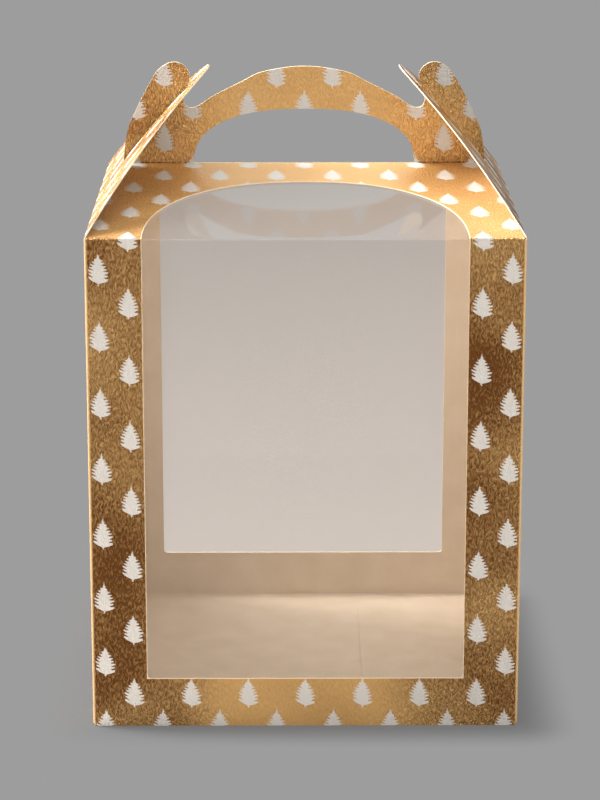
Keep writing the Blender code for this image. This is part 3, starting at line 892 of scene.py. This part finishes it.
# Base, hinged to the back wall, with its tuck flap behind the front wall
bottom = crease_frame(walls["back"][0], -walls["back"][1], DOWN)
base = folded(bottom, 0, -quarter)
printed = print_from(print_at["back"], -WALL_HEIGHT, 2)
base_half = half_width - GLUE_GAP
grids = [plain(-base_half, base_half, CORNER_GAP, BASE_RUN - CORNER_GAP)]
board("base_panel", grids, flat_on(base), printed, "base", "bottom_panel")
spans = ((-base_half, base_half),)
crease("base_crease", bottom, -quarter, spans, printed, "sleeve", "base", CORNER_GAP)
fold = folded(base, BASE_RUN, 0)
tuck_turn = -quarter - TUCK_LEAN
printed = print_from(print_at["back"], -WALL_HEIGHT - BASE_RUN, 2)
tuck_half = half_width - BOARD - TUCK_SIDE
grids = [tab(tuck_half, tuck_half, CORNER_GAP, TUCK_HEIGHT, TUCK_CORNER)]
board("tuck_tab", grids, flat_on(folded(fold, 0, tuck_turn)), printed, "tuck", "bottom_tuck_flap")
spans = ((-tuck_half, tuck_half),)
crease("tuck_crease", fold, tuck_turn, spans, printed, "base", "tuck", CORNER_GAP)


# Stage: one grey floor that fills the view, lamps and camera

def stage_rays(tree):
    """1 for the rays that see the stage's own colours, and 1 for those that have come through film.
    The photograph's backdrop was paler and warmer than the grey that the box is cut out on, and it
    still shows in the windows."""
    path = add(tree, "LightPath").outputs
    seen = add(tree, "Math", path["Is Camera Ray"], path["Is Glossy Ray"], operation="MAXIMUM")
    seen = add(tree, "Math", seen, path["Is Transmission Ray"], operation="MAXIMUM")
    through = add(tree, "Math", path["Transparent Depth"], 0.5, operation="GREATER_THAN")
    return seen, through


def studio_floor():
    """Matt grey studio floor. Beside the box it is lit, and keeps its shadow. Further off, and in
    mirrors, it has its own even grey. The distance is from the box's outline: the length of what
    the place's distance from the middle has over half the box's size."""
    finish, tree = new_finish("matt_grey_studio_floor")
    place = add(tree, "TexCoord").outputs["Object"]
    seen, through = stage_rays(tree)
    half_size = (BOX_WIDTH / 2, BOX_DEPTH / 2, 0)
    over = add(tree, "VectorMath", place, operation="ABSOLUTE")
    over = add(tree, "VectorMath", over, half_size, operation="SUBTRACT")
    over = add(tree, "VectorMath", over, (0, 0, 0), operation="MAXIMUM")
    over = add(tree, "VectorMath", over, operation="LENGTH").outputs["Value"]
    away = add(tree, "MapRange", over, 0.0, FLOOR_LIT_REACH, 1.0 - FLOOR_LIT_SHARE, 1.0,
               interpolation_type="SMOOTHSTEP")
    share = add(tree, "Math", away, through, operation="MAXIMUM")
    share = add(tree, "Math", seen, share, operation="MULTIPLY")
    pale = add(tree, "ValToRGB", add(tree, "MapRange", over, PALE_START, PALE_END))
    two_tone(pale, 0.0, PALE_NEAR, 1.0, PALE_FAR)
    even = add(tree, "MixRGB", through, hex_colour(BACKGROUND), pale)
    lit = add(tree, "MixRGB", seen, hex_colour(PALE_NEAR), hex_colour(FLOOR_LIT))
    even, lit = add(tree, "Emission", even, 1.0), add(tree, "BsdfDiffuse", lit)
    add(tree, "OutputMaterial", add(tree, "MixShader", share, lit, even))
    mesh = bpy.data.meshes.new("studio_floor")
    corners = [(x * FLOOR_HALF, y * FLOOR_HALF, 0) for x, y in ((-1, -1), (1, -1), (1, 1), (-1, 1))]
    mesh.from_pydata(corners, [], [(0, 1, 2, 3)])
    mesh.materials.append(finish)
    floor = bpy.data.objects.new("studio_floor", mesh)
    bpy.context.scene.collection.objects.link(floor)


def softbox(name, place, size, radiance):
    """A white area lamp turned to face the box. Its power is radiance times pi times its area."""
    lamp = bpy.data.lights.new(name, "AREA")
    lamp.shape, lamp.size, lamp.size_y = "RECTANGLE", *size
    lamp.energy = radiance * math.pi * size[0] * size[1]
    holder = bpy.data.objects.new(name, lamp)
    holder.location = place
    holder.rotation_euler = (Vector(LAMP_AIM) - Vector(place)).to_track_quat("-Z", "Y").to_euler()
    holder.visible_camera = False
    bpy.context.scene.collection.objects.link(holder)


studio_floor()
softbox("back_softbox", (0.0, 2.6, 2.0), (4.0, 2.0), 0.55)
softbox("back_left_key", (-1.1, 1.1, 1.5), (0.8, 0.8), 8.0)
softbox("left_key", (-1.5, 0.45, 1.4), (0.7, 0.7), 56.0)
softbox("low_left_softbox", (-1.7, 0.2, 0.75), (1.0, 0.8), 9.0)
softbox("right_softbox", (1.8, 0.1, 0.7), (1.2, 1.2), 0.6)
softbox("front_softbox", (0.0, -2.9, 0.9), (3.0, 2.4), 1.0)
softbox("top_softbox", (0.0, 0.0, 2.3), (1.6, 1.6), 2.8)

world = bpy.data.worlds.new("grey_studio")
bpy.context.scene.world = world
world.use_nodes = True
world.node_tree.nodes.clear()
seen, through = stage_rays(world.node_tree)
shade = add(world.node_tree, "MixRGB", through, hex_colour(BACKGROUND), hex_colour(PALE_FAR))
shade = add(world.node_tree, "MixRGB", seen, hex_colour(FILL), shade)
add(world.node_tree, "OutputWorld", add(world.node_tree, "Background", shade, 1.0))

camera = bpy.data.cameras.new("photograph")
camera.sensor_fit, camera.sensor_width, camera.lens = "AUTO", 36.0, CAMERA_LENS
viewpoint = bpy.data.objects.new("photograph", camera)
viewpoint.location = CAMERA_PLACE
flat_look = math.cos(CAMERA_PITCH)
look = Vector((
    math.sin(CAMERA_YAW) * flat_look, math.cos(CAMERA_YAW) * flat_look, -math.sin(CAMERA_PITCH),
))
viewpoint.rotation_euler = look.to_track_quat("-Z", "Y").to_euler()
bpy.context.scene.collection.objects.link(viewpoint)
bpy.context.scene.camera = viewpoint
bpy.context.scene.view_settings.view_transform = "Standard"
# a ray crosses up to four sheets of film, each with two faces, on its way in and again to a lamp
bpy.context.scene.cycles.transparent_max_bounces = 24
